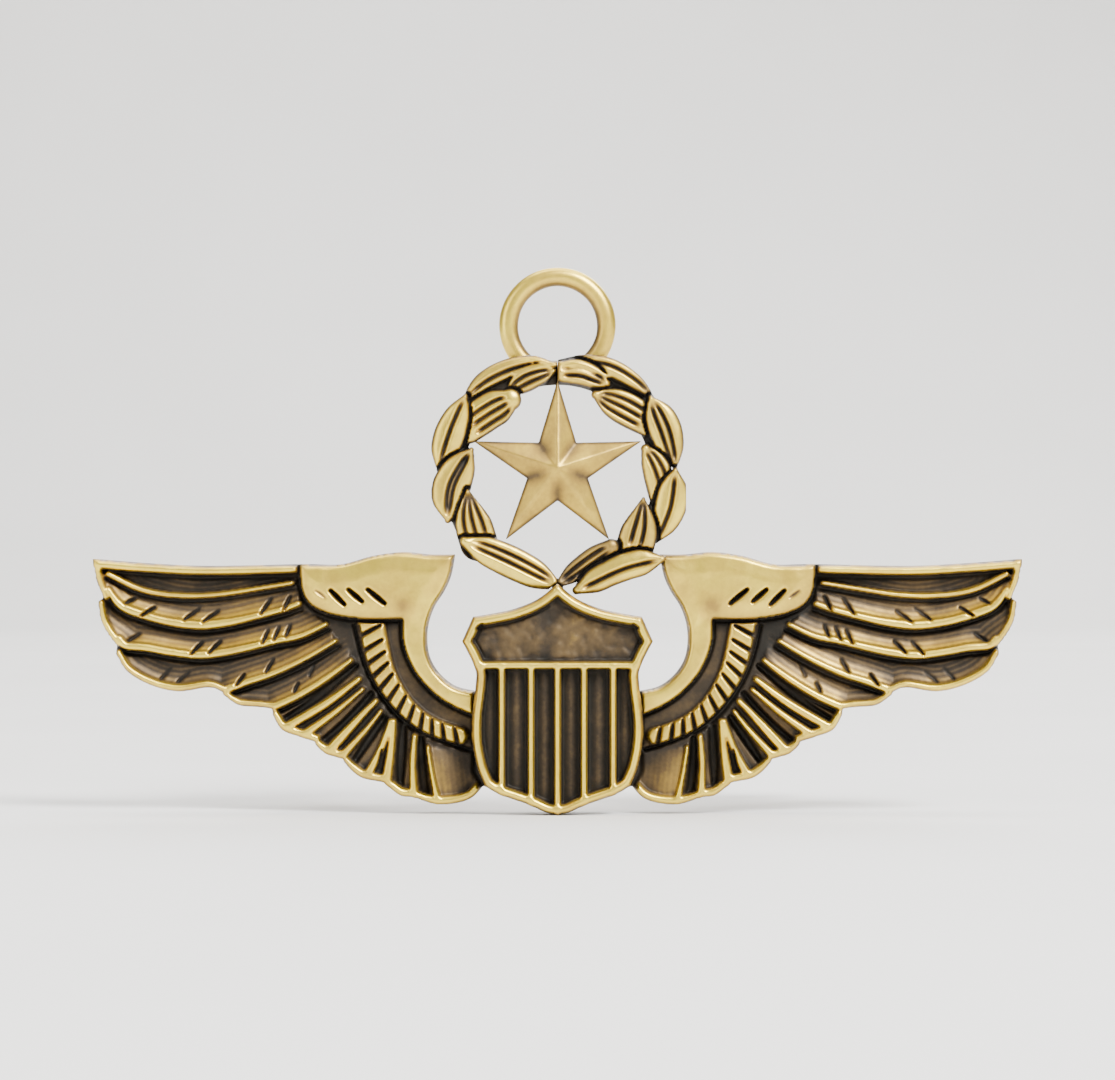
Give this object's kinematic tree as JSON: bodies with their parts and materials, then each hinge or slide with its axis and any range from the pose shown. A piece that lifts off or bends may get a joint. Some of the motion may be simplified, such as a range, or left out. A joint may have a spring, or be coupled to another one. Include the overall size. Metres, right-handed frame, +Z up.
{
  "type": "pilot wings pin",
  "caption": "Winged shield badge with a faceted star in a laurel wreath, a hanging ring on top, and pointed posts with pinch-open butterfly clutches on the back.",
  "frame": {"origin": "on the back plane, midway between the two posts", "axes": "+X along the wing span, +Z up towards the hanging ring, +Y out of the back along the posts; the face looks along -Y"},
  "size_m": [0.0466, 0.0112, 0.0275],
  "materials": {
    "antique_brass": "antiqued, dark in the recesses and polished on the edges",
    "clutch_brass": "satin",
    "post_metal": "satin"
  },
  "bodies": {
    "root": {"left_wing": "antique_brass", "right_wing": "antique_brass", "shield": "antique_brass", "star": "antique_brass", "wreath_left_branch": "antique_brass", "wreath_right_branch": "antique_brass", "hanging_ring": "antique_brass", "left_post_pad": "post_metal", "right_post_pad": "post_metal", "left_post": "post_metal", "right_post": "post_metal"},
    "left_clutch": {"left_clutch_base": "clutch_brass", "left_clutch_spring": "clutch_brass"},
    "left_inner_lever": {"left_clutch_inner_wing": "clutch_brass"},
    "left_outer_lever": {"left_clutch_outer_wing": "clutch_brass"},
    "right_clutch": {"right_clutch_base": "clutch_brass", "right_clutch_spring": "clutch_brass"},
    "right_inner_lever": {"right_clutch_inner_wing": "clutch_brass"},
    "right_outer_lever": {"right_clutch_outer_wing": "clutch_brass"}
  },
  "joints": [
    {"name": "left_clutch_pull", "type": "slide", "parent": "root", "child": "left_clutch", "axis": [0, 1, 0], "range_m": [0, 0.01]},
    {"name": "left_outer_pinch", "type": "hinge", "parent": "left_clutch", "child": "left_outer_lever", "pos_m": [-0.0132, 0.0047, 0], "axis": [0, 0, -1], "range_deg": [0, 16], "stiffness_Nm_per_rad": 0.02},
    {"name": "left_inner_pinch", "type": "hinge", "parent": "left_clutch", "child": "left_inner_lever", "pos_m": [-0.0094, 0.0047, 0], "axis": [0, 0, 1], "range_deg": [0, 16]},
    {"name": "right_clutch_pull", "type": "slide", "parent": "root", "child": "right_clutch", "axis": [0, 1, 0], "range_m": [0, 0.01]},
    {"name": "right_outer_pinch", "type": "hinge", "parent": "right_clutch", "child": "right_outer_lever", "pos_m": [0.0132, 0.0047, 0], "axis": [0, 0, 1], "range_deg": [0, 16], "stiffness_Nm_per_rad": 0.02},
    {"name": "right_inner_pinch", "type": "hinge", "parent": "right_clutch", "child": "right_inner_lever", "pos_m": [0.0094, 0.0047, 0], "axis": [0, 0, -1], "range_deg": [0, 16]}
  ],
  "couplings": [
    {"joint": "left_inner_pinch", "follows": "left_outer_pinch", "ratio": 1},
    {"joint": "right_inner_pinch", "follows": "right_outer_pinch", "ratio": 1}
  ]
}
